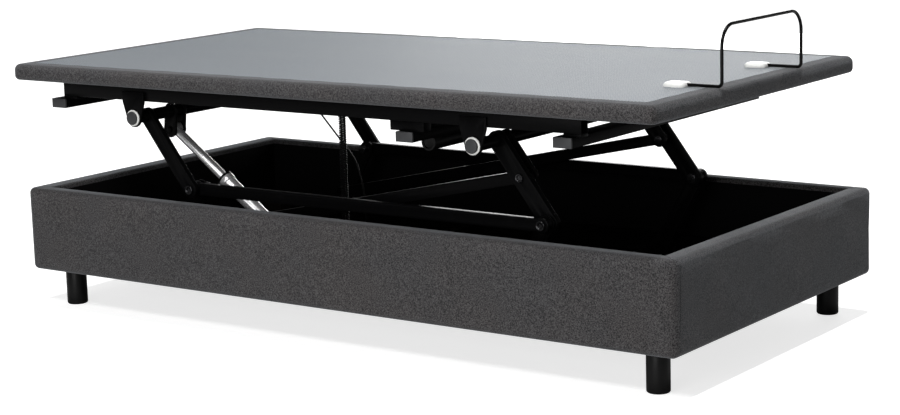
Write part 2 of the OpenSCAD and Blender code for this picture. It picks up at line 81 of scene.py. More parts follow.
class BedUpholstery(bpy.types.PropertyGroup):
    edge_radius: FloatProperty(
        name="Edge radius", description="Rounding of the box's outer top edge",
        default=0.014, min=0.004, max=0.03, unit="LENGTH")
    corner_radius: FloatProperty(
        name="Corner radius", description="Rounding of the box's upright corners",
        default=0.021, min=0.004, max=0.03, unit="LENGTH")
    fold_depth: FloatProperty(
        name="Fold depth", description="How far the fabric turns down inside the box",
        default=0.013, min=0.01, max=0.08, unit="LENGTH")
    cover_radius: FloatProperty(
        name="Cover radius", description="Rounding of the lying surface's edge",
        default=0.016, min=0.005, max=0.02, unit="LENGTH")
    border: FloatProperty(
        name="Border", description="Width of the plain border round the woven top",
        default=0.045, min=0.02, max=0.1, unit="LENGTH")
    fabric: FloatVectorProperty(
        name="Fabric", description="Mean colour of the melange fabric",
        default=(0.0465, 0.0445, 0.0448), subtype="COLOR", size=3, min=0, max=1)
    woven: FloatVectorProperty(
        name="Woven top", description="Mean colour of the woven top",
        default=(0.172, 0.187, 0.203), subtype="COLOR", size=3, min=0, max=1)


class BedLeads(bpy.types.PropertyGroup):
    coil_pitch: FloatProperty(
        name="Coil pitch", description="Distance between two turns of a curly lead",
        default=0.0063, min=0.003, max=0.02, unit="LENGTH")
    wire_radius: FloatProperty(
        name="Wire radius", description="Radius of the wire of a curly lead",
        default=0.0025, min=0.001, max=0.003, unit="LENGTH")
    turn_points: IntProperty(
        name="Points per turn", description="Points along one turn of a curly lead",
        default=12, min=8, max=24)
    drop: FloatProperty(
        name="Lift travel", description="How far the lying surface comes down from its top place",
        default=0.257, min=0.1, max=0.5, unit="LENGTH")


# ---------------------------------------------------------------- small tools

def only(*pieces):
    """Selects just these objects, the first one active."""
    if bpy.context.object and bpy.context.object.mode != "OBJECT":
        bpy.ops.object.mode_set(mode="OBJECT")
    bpy.ops.object.select_all(action="DESELECT")
    for piece in pieces:
        piece.select_set(True)
    bpy.context.view_layer.objects.active = pieces[0]


def settle(name):
    """Names the active object and puts its place into its mesh."""
    piece = bpy.context.object
    only(piece)
    bpy.ops.object.transform_apply(location=True, rotation=True, scale=True)
    piece.name = piece.data.name = name
    return piece


def add_box(name, low, high):
    low, high = Vector(low), Vector(high)
    bpy.ops.mesh.primitive_cube_add(size=1, location=(low + high) / 2, scale=high - low)
    return settle(name)


def add_rod(name, start, end, radius, sides=32):
    start, end = Vector(start), Vector(end)
    axis = end - start
    turn = Vector((0, 0, 1)).rotation_difference(axis).to_euler()
    bpy.ops.mesh.primitive_cylinder_add(
        vertices=sides, radius=radius, depth=axis.length, location=(start + end) / 2, rotation=turn)
    return settle(name)


def apply_modifier(piece, kind, **settings):
    only(piece)
    modifier = piece.modifiers.new(kind.title(), kind)
    for key, value in settings.items():
        setattr(modifier, key, value)
    bpy.ops.object.modifier_apply(modifier=modifier.name)


def round_edges(piece, width, segments=2, angle=35):
    apply_modifier(piece, "BEVEL", width=width, segments=segments, limit_method="ANGLE",
                   angle_limit=math.radians(angle), use_clamp_overlap=True)


def smooth(piece, angle=35):
    only(piece)
    bpy.ops.object.shade_smooth_by_angle(angle=math.radians(angle))


def pick_nothing(piece, kind):
    """Clears the selection of a mesh, sets its kind, FACE or EDGE, and leaves edit mode."""
    only(piece)
    bpy.ops.object.mode_set(mode="EDIT")
    bpy.ops.mesh.select_mode(type=kind)
    bpy.ops.mesh.select_all(action="DESELECT")
    bpy.ops.object.mode_set(mode="OBJECT")


def pick_faces(piece, test):
    """Selects the faces whose centre and normal pass the test, and stays in edit mode."""
    pick_nothing(piece, "FACE")
    for face in piece.data.polygons:
        face.select = test(face.center, face.normal)
    bpy.ops.object.mode_set(mode="EDIT")


def pick_edges(piece, test):
    """Selects the edges whose two ends pass the test, and stays in edit mode."""
    pick_nothing(piece, "EDGE")
    points = piece.data.vertices
    for edge in piece.data.edges:
        edge.select = test(points[edge.vertices[0]].co, points[edge.vertices[1]].co)
    bpy.ops.object.mode_set(mode="EDIT")


def pick_all(piece):
    """Selects the whole mesh, and stays in edit mode."""
    only(piece)
    bpy.ops.object.mode_set(mode="EDIT")
    bpy.ops.mesh.select_all(action="SELECT")


def cut(piece, point, normal, drop_inner=False, drop_outer=False, fill=False):
    """Bisects a whole piece; it may drop one side and close the cut."""
    pick_all(piece)
    bpy.ops.mesh.bisect(plane_co=point, plane_no=normal, use_fill=fill,
                        clear_inner=drop_inner, clear_outer=drop_outer)
    bpy.ops.object.mode_set(mode="OBJECT")


def copy_piece(piece, name):
    twin = bpy.data.objects.new(name, piece.data.copy())
    twin.data.name = name
    bpy.context.collection.objects.link(twin)
    return twin


def join(name, pieces):
    only(*pieces)
    if len(pieces) > 1:
        bpy.ops.object.join()
    joined = bpy.context.object
    joined.name = joined.data.name = name
    return joined


def clean(piece):
    """Merges points that lie together and turns the faces outwards."""
    pick_all(piece)
    bpy.ops.mesh.remove_doubles(threshold=0.01 * MM)
    bpy.ops.mesh.normals_make_consistent(inside=False)
    bpy.ops.object.mode_set(mode="OBJECT")


def remove(piece):
    bpy.data.objects.remove(piece, do_unlink=True)


def dress(piece, material):
    piece.data.materials.clear()
    piece.data.materials.append(material)


def finish_piece(piece, body, material, nodes=()):
    dress(piece, material)
    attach(piece, body)
    if nodes:
        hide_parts(*nodes)


def span(*nodes):
    """Lowest and highest corner of several CAD nodes together."""
    boxes = [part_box(node) for node in nodes]
    low = Vector(min(b[0][i] for b in boxes) for i in range(3))
    high = Vector(max(b[1][i] for b in boxes) for i in range(3))
    return low, high


def joint(name):
    return next(j for j in frame["joints"] if j["name"] == name)


# ---------------------------------------------------------------- shader tools

class Value:
    """A number socket that can be used in a Python expression."""

    def __init__(self, finish, link):
        self.finish = finish
        self.link = link

    def _math(self, operation, first, second=None):
        inputs = {0: first} if second is None else {0: first, 1: second}
        return self.finish.node("ShaderNodeMath", {"operation": operation}, inputs)

    def __add__(self, other):
        return self._math("ADD", self, other)

    def __rsub__(self, other):
        return self._math("SUBTRACT", other, self)

    def __mul__(self, other):
        return self._math("MULTIPLY", self, other)

    def sine(self):
        return self._math("SINE", self)


class Finish:
    """A material on a Principled shader, with one method that adds any other node."""

    def __init__(self, name, **sockets):
        self.material = bpy.data.materials.new(name)
        self.material.use_nodes = True
        self.tree = self.material.node_tree
        self.shader = self.tree.nodes["Principled BSDF"]
        self.set(**sockets)

    def set(self, **sockets):
        for key, value in sockets.items():
            self.feed(self.shader.inputs[key.replace("_", " ")], value)

    def feed(self, socket, value):
        """Links a Value to a socket, or sets the socket to a number, vector or colour."""
        if isinstance(value, Value):
            self.tree.links.new(value.link, socket)
        elif isinstance(value, tuple) and socket.type == "RGBA":
            socket.default_value = (*value, 1)
        else:
            socket.default_value = value

    def node(self, kind, settings=None, inputs=None, output=0):
        made = self.tree.nodes.new(kind)
        for key, value in (settings or {}).items():
            setattr(made, key, value)
        for key, value in (inputs or {}).items():
            self.feed(made.inputs[key], value)
        return Value(self, made.outputs[output])

    def place(self, scale=(1, 1, 1), turn=0.0):
        """Object coordinates, scaled, and turned about Z."""
        where = self.node("ShaderNodeTexCoord", output="Object")
        return self.node("ShaderNodeMapping", None,
                         {"Vector": where, "Scale": scale, "Rotation": (0, 0, turn)})

    def noise(self, where, scale, detail=2.0, rough=0.5):
        return self.node("ShaderNodeTexNoise", None,
                         {"Vector": where, "Scale": scale, "Detail": detail, "Roughness": rough})

    def remap(self, value, low, high):
        """Stretches the range from low to high over 0 to 1."""
        return self.node("ShaderNodeMapRange", None,
                         {"Value": value, "From Min": low, "From Max": high})

    def mix(self, factor, first, second, blend="MIX"):
        return self.node("ShaderNodeMix", {"data_type": "RGBA", "blend_type": blend},
                         {0: factor, 6: first, 7: second}, 2)

    def bump(self, height, strength, distance):
        self.set(Normal=self.node("ShaderNodeBump", None, {
            "Height": height, "Strength": strength, "Distance": distance}))


def shade(colour, factor):
    return tuple(min(1.0, channel * factor) for channel in colour)


def melange_finish(colour, name="melange_fabric"):
    """Dark melange upholstery: pale and dark flecks over a fine plain weave."""
    finish = Finish(name, Roughness=0.92, Specular_IOR_Level=0.12,
                    Sheen_Weight=0.35, Sheen_Roughness=0.45, Sheen_Tint=(0.75, 0.8, 0.85))
    where = finish.place()
    fleck = finish.noise(where, 330.0, 4.0, 0.85)
    patch = finish.noise(where, 5.0, 2.0, 0.5)
    crease = finish.noise(finish.place((1, 1, 2.2)), 9.0, 3.0, 0.55)
    thread = finish.noise(finish.place((1, 1, 0.35)), 900.0, 1.0)
    tone = finish.mix(finish.remap(fleck, 0.42, 0.58), shade(colour, 0.22), shade(colour, 1.85))
    warm = finish.mix(finish.remap(patch, 0.35, 0.65), (0.97, 0.98, 1.0), (1.04, 1.01, 1.0))
    finish.set(Base_Color=finish.mix(1.0, tone, warm, "MULTIPLY"))
    finish.bump(fleck * 0.20 + thread * 0.20 + crease * 3.0, 0.6, 0.0016)
    return finish.material


def woven_finish(colour):
    """Spacer knit: rows of small dimples set in a diagonal grid, with painted highlight on the ribs and painted
    shade in the dimples.
    """
    finish = Finish("woven_top", Roughness=0.58, Specular_IOR_Level=0.42,
                    Sheen_Weight=0.30, Sheen_Roughness=0.4, Sheen_Tint=(0.8, 0.88, 0.95))
    rib_spacing = 0.0125
    turns = 2 * math.pi / rib_spacing
    where = finish.place((1, 1, 1), math.radians(40))
    parts = finish.node("ShaderNodeSeparateXYZ", None, {"Vector": where})
    across = Value(finish, parts.link.node.outputs[0])
    along = Value(finish, parts.link.node.outputs[1])
    dimple = (across * turns).sine() * (along * turns).sine()
    waver = finish.noise(finish.place(), 260.0, 2.0)
    cell = dimple * 0.5 + 0.5
    depth = finish.remap(cell + waver * 0.3, 0.45, 0.85)
    cloud = finish.noise(finish.place((0.6, 1.6, 1)), 5.0, 2.0)
    # Painted light: a paler copy of the colour on the ribs and a darker copy in the dimples, following their
    # depth.
    tone = finish.mix(depth, shade(colour, 1.50), shade(colour, 0.22))
    cast = finish.mix(cloud, (0.90, 0.92, 0.95), (1.10, 1.08, 1.06))
    finish.set(Base_Color=finish.mix(1.0, tone, cast, "MULTIPLY"))
    finish.bump(1.0 - depth, 0.7, 0.0014)
    return finish.material


def painted_finish(name, colour, roughness, specular, grain=900.0, wear=(0.05, 0.05, 0.052)):
    """Satin powder coat: fine orange peel, slight wear towards a paler tone."""
    finish = Finish(name, Specular_IOR_Level=specular)
    where = finish.place()
    peel = finish.noise(where, grain, 2.0)
    cloud = finish.noise(where, 14.0, 4.0, 0.6)
    rub = finish.remap(cloud, 0.62, 0.80)
    finish.set(Base_Color=finish.mix(rub * 0.5, colour, wear),
               Roughness=peel * 0.12 + cloud * 0.14 + (roughness - 0.13))
    finish.bump(peel, 0.16, 0.0003)
    return finish.material


def plastic_finish(name, colour, roughness, grain=500.0, specular=0.4):
    """Moulded plastic with a fine spark-eroded grain."""
    finish = Finish(name, Specular_IOR_Level=specular)
    where = finish.place()
    grit = finish.noise(where, grain, 3.0, 0.6)
    cloud = finish.noise(where, 18.0, 2.0)
    finish.set(Base_Color=finish.mix(cloud, shade(colour, 0.86), shade(colour, 1.12)),
               Roughness=grit * 0.2 + (roughness - 0.1))
    finish.bump(grit, 0.22, 0.0002)
    return finish.material


def metal_finish(name, colour, roughness, streak_scale, metallic=1.0):
    """Bright metal with fine drawn streaks."""
    finish = Finish(name, Metallic=metallic)
    streak = finish.noise(finish.place(streak_scale), 60.0, 3.0, 0.6)
    finish.set(Base_Color=finish.mix(streak, shade(colour, 0.88), shade(colour, 1.08)),
               Roughness=streak * 0.14 + (roughness - 0.07))
    finish.bump(streak, 0.06, 0.0002)
    return finish.material


def lining_finish():
    """Black backing board and cloth inside the box."""
    finish = Finish("black_lining", Roughness=0.95, Specular_IOR_Level=0.05)
    fibre = finish.noise(finish.place((1, 1, 3)), 220.0, 4.0, 0.7)
    finish.set(Base_Color=finish.mix(fibre, (0.0015, 0.0015, 0.0016), (0.006, 0.006, 0.0065)))
    finish.bump(fibre, 0.3, 0.0006)
    return finish.material


def board_finish():
    """Black-stained board."""
    finish = Finish("stained_board", Roughness=0.85, Specular_IOR_Level=0.1)
    ring = finish.noise(finish.place((0.6, 9, 3)), 6.0, 5.0, 0.65)
    finish.set(Base_Color=finish.mix(ring, (0.006, 0.005, 0.0045), (0.014, 0.012, 0.010)))
    finish.bump(ring, 0.2, 0.0005)
    return finish.material


def make_finishes():
    looks = bpy.context.scene.bed_upholstery
    return {
        "melange": melange_finish(tuple(looks.fabric)),
        # Painted shade: the seams are the same fabric made much darker, for the shade in their creases.
        "seam": melange_finish(shade(tuple(looks.fabric), 0.30), "sewn_seam"),
        "woven": woven_finish(tuple(looks.woven)),
        "steel": painted_finish("black_powder_coat", (0.0022, 0.0022, 0.0024), 0.30, 0.04,
                                wear=(0.006, 0.006, 0.0065)),
        "fastener": metal_finish("black_oxide", (0.035, 0.035, 0.037), 0.22, (1, 1, 1), 0.8),
        "gloss": painted_finish("black_gloss", (0.0012, 0.0012, 0.0013), 0.30, 0.14),
        "plastic": plastic_finish("black_plastic", (0.0035, 0.0035, 0.0035), 0.40, specular=0.16),
        "grey": plastic_finish("grey_cap", (0.030, 0.031, 0.033), 0.5),
        "nylon": plastic_finish("white_nylon", (0.78, 0.78, 0.76), 0.35),
        "silver": metal_finish("silver_tube", (0.86, 0.86, 0.87), 0.26, (3, 90, 3), 0.7),
        "zinc": metal_finish("zinc_plate", (0.52, 0.52, 0.50), 0.38, (1, 1, 1)),
        "sheath": plastic_finish("cable_sheath", (0.003, 0.003, 0.003), 0.42, 900.0, 0.20),
        "lining": lining_finish(),
        "board": board_finish(),
    }


FINISHES = {}


# ---------------------------------------------------------------- stage

CAMERA_PLACE = (3.290, -4.485, 1.309)
CAMERA_TURN = (-35.82, 10.59, -1.64)  # yaw, pitch down and roll, in degrees
CAMERA_LENS = 85.56
FLOOR_SIZE, FLOOR_COLOUR, FLOOR_GLOW = 160, 0.55, 0.74
WORLD_COLOUR, WORLD_GLOW = (1.0, 0.99, 0.985, 1), 0.12
SUN_STRENGTH, SUN_ANGLE = 2.2, 1.5
# name: place, the point that it faces, width in metres, power in watts
SOFT_BOXES = {
    "front_low": ((1.0, -5.4, 0.85), (0.3, 0.0, 0.35), 3.0, 130),
    "high_key": ((0.5, -3.0, 3.6), (0.3, 0.0, 0.6), 0.9, 86),
    "back_left": ((-2.2, 6.0, 2.0), (0.3, 0.0, 0.64), 4.0, 235),
}


class BED_OT_stage(bpy.types.Operator):
    """Camera, pale floor and soft studio light"""
    bl_idname = "bed.stage"
    bl_label = "Stage"

    def execute(self, context):
        self.camera(context)
        self.floor(context)
        self.lights(context)
        context.scene.view_settings.view_transform = "Standard"
        return {"FINISHED"}

    def camera(self, context):
        yaw, pitch, roll = (math.radians(angle) for angle in CAMERA_TURN)
        ahead = Vector((math.sin(yaw) * math.cos(pitch), math.cos(yaw) * math.cos(pitch),
                        -math.sin(pitch)))
        right = ahead.cross(Vector((0, 0, 1))).normalized()
        up = right.cross(ahead)
        side = math.cos(roll) * right + math.sin(roll) * up
        top = math.cos(roll) * up - math.sin(roll) * right
        data = bpy.data.cameras.new("camera")
        data.lens = CAMERA_LENS
        data.clip_end = 200
        camera = bpy.data.objects.new("camera", data)
        context.collection.objects.link(camera)
        camera.matrix_world = Matrix.Translation(CAMERA_PLACE) @ Matrix(
            [(side[i], top[i], -ahead[i]) for i in range(3)]).to_4x4()
        context.scene.camera = camera

    def floor(self, context):
        bpy.ops.mesh.primitive_plane_add(size=FLOOR_SIZE, location=(0, 0, 0))
        floor = settle("floor")
        finish = Finish("floor_white", Base_Color=(FLOOR_COLOUR,) * 3, Roughness=0.9,
                        Specular_IOR_Level=0.0)
        tree = finish.tree
        seen = tree.nodes.new("ShaderNodeLightPath")
        glow = tree.nodes.new("ShaderNodeEmission")
        lift = tree.nodes.new("ShaderNodeMath")
        lift.operation = "MULTIPLY"
        lift.inputs[1].default_value = FLOOR_GLOW
        add = tree.nodes.new("ShaderNodeAddShader")
        tree.links.new(seen.outputs["Is Camera Ray"], lift.inputs[0])
        tree.links.new(lift.outputs[0], glow.inputs["Strength"])
        tree.links.new(finish.shader.outputs[0], add.inputs[0])
        tree.links.new(glow.outputs[0], add.inputs[1])
        tree.links.new(add.outputs[0], tree.nodes["Material Output"].inputs[0])
        dress(floor, finish.material)

    def lights(self, context):
        world = bpy.data.worlds.new("studio")
        world.use_nodes = True
        background = world.node_tree.nodes["Background"]
        background.inputs[0].default_value = WORLD_COLOUR
        background.inputs[1].default_value = WORLD_GLOW
        context.scene.world = world
        self.lamp("top_light", "SUN", (0, 0, 0), (0, 0, -1.0), energy=SUN_STRENGTH,
                  angle=math.radians(SUN_ANGLE))
        for name, (place, target, size, power) in SOFT_BOXES.items():
            self.lamp(name, "AREA", place, Vector(target) - Vector(place), size=size, energy=power)

    def lamp(self, name, kind, place, direction, **settings):
        data = bpy.data.lights.new(name, kind)
        for key, value in settings.items():
            setattr(data, key, value)
        lamp = bpy.data.objects.new(name, data)
        lamp.location = place
        lamp.rotation_euler = Vector(direction).to_track_quat("-Z", "Y").to_euler()
        bpy.context.collection.objects.link(lamp)


# ---------------------------------------------------------------- upholstered box

PANELS = ["side_panel_near", "side_panel_far", "end_panel_head", "end_panel_foot"]


def swell(low, high, head, foot, sides):
    """A box made larger by its wadding, in mm, at the head end, the foot end and the sides."""
    return low - Vector((head, sides, 0)) * MM, high + Vector((foot, sides, 0)) * MM


def padded_box():
    """The box's outside with its wadding: the CAD panels are the bare boards."""
    return swell(*span(*PANELS), head=12, foot=6, sides=7)


def rim(point, low, high, radius):
    """True on the outline of a box with rounded upright corners."""
    dx = min(point.x - low.x, high.x - point.x)
    dy = min(point.y - low.y, high.y - point.y)
    if dx < radius and dy < radius:
        return abs(math.hypot(radius - dx, radius - dy) - radius) < MM
    return min(dx, dy) < MM


def soften(piece, amount, size, within, seed):
    """Moves points a little along their normals, in slow waves, so cloth isn't ruled flat."""
    waves = random.Random(seed)
    shifts = [waves.uniform(0, 2 * math.pi) for _ in range(6)]
    for point in piece.data.vertices:
        if within(point.co):
            x, y, z = point.co / size
            wave = (math.sin(x * 1.9 + shifts[0]) * math.sin(z * 3.1 + y * 2.3 + shifts[1])
                    + 0.6 * math.sin(y * 2.7 + x * 3.7 + shifts[2]) * math.sin(z * 5.3 + shifts[3])
                    + 0.4 * math.sin((x + y) * 6.1 + shifts[4]) * math.sin(z * 8.9 + shifts[5]))
            point.co += point.normal * wave * amount


class BED_OT_box(bpy.types.Operator):
    """The four upholstered panels of the box"""
    bl_idname = "bed.box"
    bl_label = "Upholstered box"
    off_mitre = 1.2 * MM  # keeps the cut clear of the corner's own points
    fold_radius = 0.008  # where the fabric turns in over the rim
    loop_spaces = (44, 24, 7.5)  # spaces between edge loops along, across and up
    wave_height, wave_size = 0.0008, 0.11

    def execute(self, context):
        looks = context.scene.bed_upholstery
        low, high = padded_box()
        inner_low = Vector((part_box("end_panel_head")[1].x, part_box("side_panel_near")[1].y,
                            low.z - 0.1))
        inner_high = Vector((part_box("end_panel_foot")[0].x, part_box("side_panel_far")[0].y,
                             high.z + 0.1))
        ring = add_box("box_ring", low, high)
        hollow = add_box("box_hollow", inner_low, inner_high)
        apply_modifier(ring, "BOOLEAN", operation="DIFFERENCE", object=hollow, solver="EXACT")
        remove(hollow)
        clean(ring)

        def outer(point):
            return (min(point.x - low.x, high.x - point.x) < MM
                    or min(point.y - low.y, high.y - point.y) < MM)

        pick_edges(ring, lambda a, b: outer(a) and outer(b) and abs(a.z - b.z) > 0.1)
        bpy.ops.mesh.bevel(offset=looks.corner_radius, segments=6, affect="EDGES")
        pick_edges(ring, lambda a, b: rim(a, low, high, looks.corner_radius)
                   and rim(b, low, high, looks.corner_radius) and min(a.z, b.z) > high.z - MM)
        bpy.ops.mesh.bevel(offset=looks.edge_radius, segments=7, affect="EDGES")
        pick_edges(ring, lambda a, b: rim(a, low, high, looks.corner_radius)
                   and rim(b, low, high, looks.corner_radius) and max(a.z, b.z) < low.z + MM)
        bpy.ops.mesh.bevel(offset=looks.edge_radius, segments=5, affect="EDGES")

        def on_hollow(point):
            across = min(abs(point.x - inner_low.x), abs(point.x - inner_high.x))
            aside = min(abs(point.y - inner_low.y), abs(point.y - inner_high.y))
            return min(across, aside) < MM and point.z > high.z - MM
        pick_edges(ring, lambda a, b: on_hollow(a) and on_hollow(b))
        bpy.ops.mesh.bevel(offset=self.fold_radius, segments=4, affect="EDGES")
        bpy.ops.object.mode_set(mode="OBJECT")
        clean(ring)
        self.loosen(ring, low, high)
        self.panels(ring, low, high, inner_low, inner_high)
        remove(ring)
        return {"FINISHED"}

    def loosen(self, ring, low, high):
        """Edge loops right round, then slow waves, so that the cloth isn't ruled flat."""
        for axis, spaces in enumerate(self.loop_spaces):
            along = Vector([float(axis == i) for i in range(3)])
            for i in range(1, int(spaces)):
                cut(ring, along * (low[axis] + (high[axis] - low[axis]) * i / spaces), along)
        clean(ring)

        def on_flat(p):
            outside = min(p.x - low.x, high.x - p.x, p.y - low.y, high.y - p.y) < 3 * MM
            return outside and low.z + 0.01 < p.z < high.z - 0.012
        soften(ring, self.wave_height, self.wave_size, on_flat, seed=7)

    def panels(self, ring, low, high, inner_low, inner_high):
        """Copies of the ring, cut at the mitres. Each copy stands for one CAD panel."""
        for node in PANELS:
            panel = copy_piece(ring, node + "_upholstery")
            is_side = node.startswith("side")
            sign = 1 if node in ("side_panel_far", "end_panel_foot") else -1
            for other in (-1, 1):
                sx, sy = (other, sign) if is_side else (sign, other)
                corner = Vector((high.x if sx > 0 else low.x, high.y if sy > 0 else low.y, 0))
                inside = Vector((inner_high.x if sx > 0 else inner_low.x,
                                 inner_high.y if sy > 0 else inner_low.y, 0))
                inside.x -= self.off_mitre
                normal = (inside - corner).cross(Vector((0, 0, 1))).normalized()
                middle = Vector((0, sign * 10, 0)) if is_side else Vector((sign * 10, 0, 0))
                keep_positive = (middle - corner).dot(normal) > 0
                cut(panel, corner, normal, drop_inner=keep_positive, drop_outer=not keep_positive,
                    fill=True)
            clean(panel)
            smooth(panel, 40)
            finish_piece(panel, "base", FINISHES["melange"], [node])


class BED_OT_lining(bpy.types.Operator):
    """Black backing boards inside the box, below the turned-in fabric"""
    bl_idname = "bed.lining"
    bl_label = "Box lining"

    def execute(self, context):
        low, high = span(*PANELS)
        inner_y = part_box("side_panel_far")[0].y
        inner_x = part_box("end_panel_foot")[0].x
        head_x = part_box("end_panel_head")[1].x
        top = high.z - context.scene.bed_upholstery.fold_depth
        thick = 2 * MM
        boards = [
            add_box("board", (head_x, -inner_y, low.z + MM), (inner_x, thick - inner_y, top)),
            add_box("board", (head_x, inner_y - thick, low.z + MM), (inner_x, inner_y, top)),
            add_box("board", (head_x, thick - inner_y, low.z + MM),
                    (head_x + thick, inner_y - thick, top)),
            add_box("board", (inner_x - thick, thick - inner_y, low.z + MM),
                    (inner_x, inner_y - thick, top)),
        ]
        for board in boards:
            round_edges(board, 0.5 * MM)
        lining = join("box_lining", boards)
        smooth(lining)
        finish_piece(lining, "base", FINISHES["lining"])
        return {"FINISHED"}


class BED_OT_box_seams(bpy.types.Operator):
    """Sewn lines in the fabric made darker, as painted shade: upright beside each corner, and along each mitre on
    the rim
    """
    bl_idname = "bed.box_seams"
    bl_label = "Corner seams"

    def execute(self, context):
        low, high = padded_box()
        inner_x = (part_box("end_panel_head")[1].x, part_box("end_panel_foot")[0].x)
        inner_y = (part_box("side_panel_near")[1].y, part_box("side_panel_far")[0].y)
        looks = context.scene.bed_upholstery
        beads = []
        for sx, sy in ((-1, -1), (-1, 1), (1, -1), (1, 1)):
            x, y = (high.x if sx > 0 else low.x), (high.y if sy > 0 else low.y)
            spot = (x - sx * 0.5 * MM, y - sy * (looks.corner_radius + 1 * MM))
            beads.append(add_rod("bead", (*spot, low.z + looks.edge_radius),
                                 (*spot, high.z - looks.edge_radius), 1.1 * MM, 12))
            start = Vector((inner_x[sx > 0], inner_y[sy > 0], high.z - 0.5 * MM))
            end = Vector((x, y, high.z - 0.5 * MM))
            along = (end - start).normalized()
            beads.append(add_rod("bead", start + along * 9 * MM,
                                 end - along * 1.3 * looks.corner_radius, 0.9 * MM, 12))
        for bead in beads:
            round_edges(bead, 0.4 * MM)
        seams = join("box_corner_seams", beads)
        smooth(seams, 60)
        # The seams wear the darkened fabric: painted shade in the sewn creases.
        finish_piece(seams, "base", FINISHES["seam"])
        return {"FINISHED"}


# ---------------------------------------------------------------- lying surface

SECTIONS = {
    "back": ["back_board", "back_pad"],
    "seat": ["seat_board", "seat_pad"],
    "thigh": ["thigh_board", "thigh_pad"],
    "calf": ["calf_board", "calf_pad"],
}


def cover_box():
    """The lying surface with its cover: the CAD pads are the bare foam."""
    return swell(*span(*sum(SECTIONS.values(), [])), head=14, foot=9, sides=8)


def cover_parts():
    """Each part of the cover crosses one hinge: name, from x, to x, body, body, hinge x, nodes."""
    low, high = span(*sum(SECTIONS.values(), []))
    back, thigh = joint("back_raise")["pos_m"][0], joint("thigh_raise")["pos_m"][0]
    knee = joint("calf_fold")["pos_m"][0]
    seat_cut, thigh_cut = (back + thigh) / 2, (thigh + knee) / 2
    return [
        ("head_part", low.x - 1, seat_cut, "back", "upper_frame", back, SECTIONS["back"]),
        ("middle_part", seat_cut, thigh_cut, "upper_frame", "thigh", thigh, SECTIONS["seat"]),
        ("foot_part", thigh_cut, high.x + 1, "thigh", "calf", knee,
         SECTIONS["thigh"] + SECTIONS["calf"]),
    ]


def split_cover(whole, stem, material, with_nodes):
    """Cuts a piece that covers all four sections into parts that each span one hinge."""
    reach, level = 0.045, 0.64  # of a bend that is not made: along from its hinge, and its height
    for name, start, end, first, second, hinge, nodes in cover_parts():
        part = copy_piece(whole, f"{stem}_{name}")
        if start > whole.bound_box[0][0]:
            cut(part, (start, 0, 0), (1, 0, 0), drop_inner=True, fill=True)
        if end < whole.bound_box[6][0]:
            cut(part, (end, 0, 0), (1, 0, 0), drop_outer=True, fill=True)
        clean(part)
        smooth(part, 40)
        dress(part, material)
        if with_nodes:
            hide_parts(*nodes)
        hinge - reach
        hinge + reach
        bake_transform(part)
    remove(whole)


def hinge_lines():
    return [joint(name)["pos_m"][0] for name in ("back_raise", "thigh_raise", "calf_fold")]


def cut_stations(low, high):
    """Places along the length where the cover gets an edge loop, closer near a hinge."""
    close, apart, hinge_zone = 0.009, 0.035, 0.07
    places = []
    x = low.x + 0.05
    while x < high.x - 0.04:
        places.append(x)
        from_hinge = min(abs(x - hinge) for hinge in hinge_lines())
        x += close if from_hinge < hinge_zone else apart
    return places


class BED_OT_cover(bpy.types.Operator):
    """The upholstered cover of the lying surface"""
    bl_idname = "bed.cover"
    bl_label = "Cover"
    corner = 0.020  # rounding of the upright corners
    loop_spaces = 24  # spaces between edge loops across
    roll = 0.03  # width of the edge that the creases shape

    def execute(self, context):
        looks = context.scene.bed_upholstery
        low, high = cover_box()
        cover = add_box("cover", low, high)
        pick_edges(cover, lambda a, b: abs(a.z - b.z) > 0.01)
        bpy.ops.mesh.bevel(offset=self.corner, segments=6, affect="EDGES")
        pick_edges(cover, lambda a, b: min(a.z, b.z) > high.z - MM)
        bpy.ops.mesh.bevel(offset=looks.cover_radius, segments=6, affect="EDGES")
        pick_edges(cover, lambda a, b: max(a.z, b.z) < low.z + MM)
        bpy.ops.mesh.bevel(offset=looks.cover_radius * 0.75, segments=5, affect="EDGES")
        bpy.ops.object.mode_set(mode="OBJECT")
        clean(cover)
        pick_faces(cover, lambda centre, normal: normal.z > 0.999)
        bpy.ops.mesh.inset(thickness=looks.border - looks.cover_radius, depth=0)
        bpy.ops.mesh.inset(thickness=1.2 * MM, depth=-1.4 * MM)
        bpy.ops.object.mode_set(mode="OBJECT")
        for x in cut_stations(low, high):
            cut(cover, (x, 0, 0), (1, 0, 0))
        for i in range(1, self.loop_spaces):
            cut(cover, (0, low.y + (high.y - low.y) * i / self.loop_spaces, 0), (0, 1, 0))
        clean(cover)
        self.creases(cover, low, high)
        split_cover(cover, "cover", FINISHES["melange"], True)
        return {"FINISHED"}

    def creases(self, cover, low, high):
        """The edge roll pulls in slightly where the sections meet, and waves a little between."""
        for point in cover.data.vertices:
            foot = max(0.0, 1 - (high.x - point.co.x) / self.roll)
            ruck = 1 + math.sin(point.co.y * 23 + 0.7) * math.sin(point.co.y * 9.1)
            point.co.x -= 0.0012 * ruck * foot
            point.co.z -= 0.0010 * ruck * foot * (point.co.z - low.z) / (high.z - low.z)
            edge = max(0.0, 1 - (high.y - abs(point.co.y)) / self.roll)
            if edge <= 0:
                continue
            dip = sum(math.exp(-((point.co.x - h) / 0.022) ** 2) for h in hinge_lines()[::2])
            upper = (point.co.z - low.z) / (high.z - low.z)
            side = math.copysign(1, point.co.y)
            wave = math.sin(point.co.x * 11.3 + side) * math.sin(point.co.x * 4.7 + 1.3)
            point.co.y -= side * (0.0028 * dip + 0.0008 * (1 + wave)) * edge
            point.co.z -= (0.0022 * dip * upper + 0.0006 * (1 + wave) * upper) * edge


